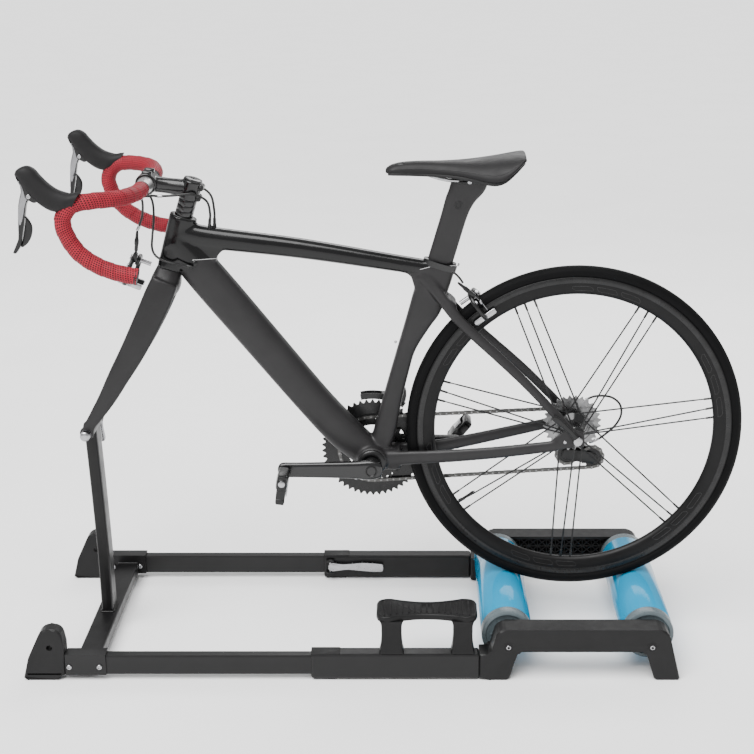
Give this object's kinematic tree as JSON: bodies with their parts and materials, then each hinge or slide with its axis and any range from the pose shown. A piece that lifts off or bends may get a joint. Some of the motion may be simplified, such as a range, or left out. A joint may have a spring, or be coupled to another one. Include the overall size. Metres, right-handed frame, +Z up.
{
  "type": "road bicycle on a roller stand",
  "caption": "Road bicycle with its fork clamped to a folding-rail floor stand and its rear wheel on two free-turning rollers, for riding in place indoors.",
  "frame": {"origin": "on the floor, under the middle of the whole object's bounding box", "axes": "+Z up; the bicycle faces -X, its left side is -Y and its chain side is +Y"},
  "size_m": [1.4064, 0.48, 0.9943],
  "materials": {
    "stand_steel": "satin black powder coat",
    "stand_plastic": "fine-grained black nylon",
    "roller_blue": "bright blue, glossy",
    "silver": "bright zinc or polished steel",
    "bar_alloy": "satin, sand-blasted",
    "lever_alloy": "polished front edge, dark sides",
    "frame_grey": "matte charcoal over carbon fibre",
    "gloss_black": "glossy black lacquer",
    "satin_black": "satin black anodised",
    "rim_black": "satin black with a worn brake track",
    "chain_steel": "oiled bare steel",
    "bar_tape": "red perforated synthetic wrap with black dots",
    "hood_rubber": "matte black",
    "cable_black": "satin black outer casing",
    "tyre_rubber": "matte black with a fine tread",
    "saddle_cover": "matte charcoal cover"
  },
  "bodies": {
    "stand": {"front_rail_left": "stand_steel", "front_rail_right": "stand_steel", "rear_sleeve_left": "stand_steel", "rear_sleeve_right": "stand_steel", "front_foot_left": "stand_plastic", "front_foot_right": "stand_plastic", "roller_housing_left": "stand_plastic", "roller_housing_right": "stand_plastic", "front_frame_and_post": "stand_steel", "fork_skewer": "silver", "side_step": "stand_plastic", "front_roller_axle": "silver", "rear_roller_axle": "silver"},
    "lock_lever_left": {"rail_lock_lever_left": "silver"},
    "lock_lever_right": {"rail_lock_lever_right": "silver"},
    "skewer_lever": {"fork_skewer_lever": "silver"},
    "front_roller": {"front_roller": "roller_blue"},
    "rear_roller": {"rear_roller": "roller_blue"},
    "front_end": {"fork": "frame_grey", "stem": "satin_black", "handlebar": "bar_alloy", "bar_tape_left": "bar_tape", "bar_tape_right": "bar_tape", "brake_hood_left": "hood_rubber", "brake_hood_right": "hood_rubber", "cable_front_brake": "cable_black", "cable_shift_right": "cable_black", "cable_rear_brake": "cable_black", "cable_shift_left": "cable_black"},
    "brake_lever_left": {"brake_lever_left": "lever_alloy"},
    "brake_lever_right": {"brake_lever_right": "lever_alloy"},
    "shift_paddle_left": {"shift_paddle_left": "satin_black"},
    "shift_paddle_right": {"shift_paddle_right": "satin_black"},
    "front_brake_arm_left": {"front_brake_arm_left": "satin_black"},
    "front_brake_arm_right": {"front_brake_arm_right": "satin_black"},
    "main_frame": {"head_tube": "gloss_black", "top_tube": "frame_grey", "down_tube": "frame_grey", "seat_tube": "frame_grey", "rear_triangle": "frame_grey", "chain": "chain_steel", "rear_derailleur": "satin_black", "front_derailleur": "satin_black", "rear_axle": "silver", "cable_rear_derailleur": "cable_black"},
    "seat": {"seatpost": "frame_grey", "saddle": "saddle_cover"},
    "rear_brake_arm_left": {"rear_brake_arm_left": "satin_black"},
    "rear_brake_arm_right": {"rear_brake_arm_right": "satin_black"},
    "crankset": {"crank_left": "gloss_black", "crank_right": "gloss_black", "chainrings": "satin_black"},
    "pedal_left": {"pedal_left": "satin_black"},
    "pedal_right": {"pedal_right": "satin_black"},
    "rear_wheel": {"hub_and_spokes": "satin_black", "rim": "rim_black", "tyre": "tyre_rubber", "cassette": "chain_steel"},
    "guide_pulley": {"guide_pulley": "satin_black"},
    "tension_pulley": {"tension_pulley": "satin_black"}
  },
  "joints": [
    {"name": "lock_lever_left_turn", "type": "hinge", "parent": "stand", "child": "lock_lever_left", "pos_m": [-0.1345, -0.20325, 0.032], "axis": [0, 0, 1], "range_deg": [0, 90]},
    {"name": "lock_lever_right_turn", "type": "hinge", "parent": "stand", "child": "lock_lever_right", "pos_m": [-0.1345, 0.20325, 0.032], "axis": [0, 0, -1], "range_deg": [0, 90]},
    {"name": "skewer_lever_turn", "type": "hinge", "parent": "stand", "child": "skewer_lever", "pos_m": [-0.594, 0.072, 0.437], "axis": [1, 0, 0], "range_deg": [0, 120]},
    {"name": "front_roller_spin", "type": "hinge", "parent": "stand", "child": "front_roller", "pos_m": [0.231, 0, 0.07], "axis": [0, -1, 0], "continuous": true},
    {"name": "rear_roller_spin", "type": "hinge", "parent": "stand", "child": "rear_roller", "pos_m": [0.507, 0, 0.07], "axis": [0, -1, 0], "continuous": true},
    {"name": "bike_lift", "type": "hinge", "parent": "stand", "child": "front_end", "pos_m": [-0.594, 0, 0.437], "axis": [0, -1, 0], "range_deg": [0, 20]},
    {"name": "brake_lever_left_squeeze", "type": "hinge", "parent": "front_end", "child": "brake_lever_left", "pos_m": [-0.6294, -0.211, 0.9427], "axis": [0, -1, 0], "range_deg": [0, 16], "stiffness_Nm_per_rad": 0.5, "springref_deg": -20.05},
    {"name": "brake_lever_right_squeeze", "type": "hinge", "parent": "front_end", "child": "brake_lever_right", "pos_m": [-0.6294, 0.211, 0.9427], "axis": [0, -1, 0], "range_deg": [0, 16], "stiffness_Nm_per_rad": 0.5, "springref_deg": -20.05},
    {"name": "shift_paddle_left_swing", "type": "hinge", "parent": "brake_lever_left", "child": "shift_paddle_left", "pos_m": [-0.64, -0.211, 0.906], "axis": [0.1871, 0, 0.9823], "range_deg": [0, 15], "stiffness_Nm_per_rad": 0.05, "springref_deg": -17.19},
    {"name": "shift_paddle_right_swing", "type": "hinge", "parent": "brake_lever_right", "child": "shift_paddle_right", "pos_m": [-0.64, 0.211, 0.906], "axis": [-0.1871, 0, -0.9823], "range_deg": [0, 15], "stiffness_Nm_per_rad": 0.05, "springref_deg": -17.19},
    {"name": "front_brake_arm_left_close", "type": "hinge", "parent": "front_end", "child": "front_brake_arm_left", "pos_m": [-0.486, 0, 0.78], "axis": [0.9349, 0, -0.355], "range_deg": [0, 3]},
    {"name": "front_brake_arm_right_close", "type": "hinge", "parent": "front_end", "child": "front_brake_arm_right", "pos_m": [-0.486, 0, 0.78], "axis": [-0.9349, 0, 0.355], "range_deg": [0, 3]},
    {"name": "steering", "type": "hinge", "parent": "front_end", "child": "main_frame", "pos_m": [-0.392, 0, 0.862], "axis": [0.2924, 0, 0.9563], "range_deg": [-4, 4]},
    {"name": "seat_height", "type": "slide", "parent": "main_frame", "child": "seat", "axis": [0.2807, 0, 0.9598], "range_m": [-0.01, 0.03]},
    {"name": "rear_brake_arm_left_close", "type": "hinge", "parent": "main_frame", "child": "rear_brake_arm_left", "pos_m": [0.163, 0, 0.708], "axis": [0.8102, 0, 0.5861], "range_deg": [0, 3]},
    {"name": "rear_brake_arm_right_close", "type": "hinge", "parent": "main_frame", "child": "rear_brake_arm_right", "pos_m": [0.163, 0, 0.708], "axis": [-0.8102, 0, -0.5861], "range_deg": [0, 3]},
    {"name": "crank_spin", "type": "hinge", "parent": "main_frame", "child": "crankset", "pos_m": [-0.034, 0, 0.372], "axis": [0, -1, 0], "continuous": true},
    {"name": "pedal_left_spin", "type": "hinge", "parent": "crankset", "child": "pedal_left", "pos_m": [-0.204, -0.125, 0.372], "axis": [0, -1, 0], "continuous": true},
    {"name": "pedal_right_spin", "type": "hinge", "parent": "crankset", "child": "pedal_right", "pos_m": [0.136, 0.125, 0.372], "axis": [0, -1, 0], "continuous": true},
    {"name": "wheel_spin", "type": "hinge", "parent": "main_frame", "child": "rear_wheel", "pos_m": [0.369, 0, 0.42985], "axis": [0, -1, 0], "continuous": true},
    {"name": "guide_pulley_spin", "type": "hinge", "parent": "main_frame", "child": "guide_pulley", "pos_m": [0.3622, 0.05, 0.3577], "axis": [0, -1, 0], "continuous": true},
    {"name": "tension_pulley_spin", "type": "hinge", "parent": "main_frame", "child": "tension_pulley", "pos_m": [0.414, 0.05, 0.35], "axis": [0, -1, 0], "continuous": true}
  ],
  "couplings": [
    {"joint": "wheel_spin", "follows": "crank_spin", "ratio": 2.6154},
    {"joint": "front_roller_spin", "follows": "crank_spin", "ratio": -17.523},
    {"joint": "rear_roller_spin", "follows": "crank_spin", "ratio": -17.523},
    {"joint": "guide_pulley_spin", "follows": "crank_spin", "ratio": -3.0909},
    {"joint": "tension_pulley_spin", "follows": "crank_spin", "ratio": 3.0909},
    {"joint": "front_brake_arm_left_close", "follows": "brake_lever_left_squeeze", "ratio": 0.1875},
    {"joint": "front_brake_arm_right_close", "follows": "brake_lever_left_squeeze", "ratio": 0.1875},
    {"joint": "rear_brake_arm_left_close", "follows": "brake_lever_right_squeeze", "ratio": 0.1875},
    {"joint": "rear_brake_arm_right_close", "follows": "brake_lever_right_squeeze", "ratio": 0.1875}
  ]
}
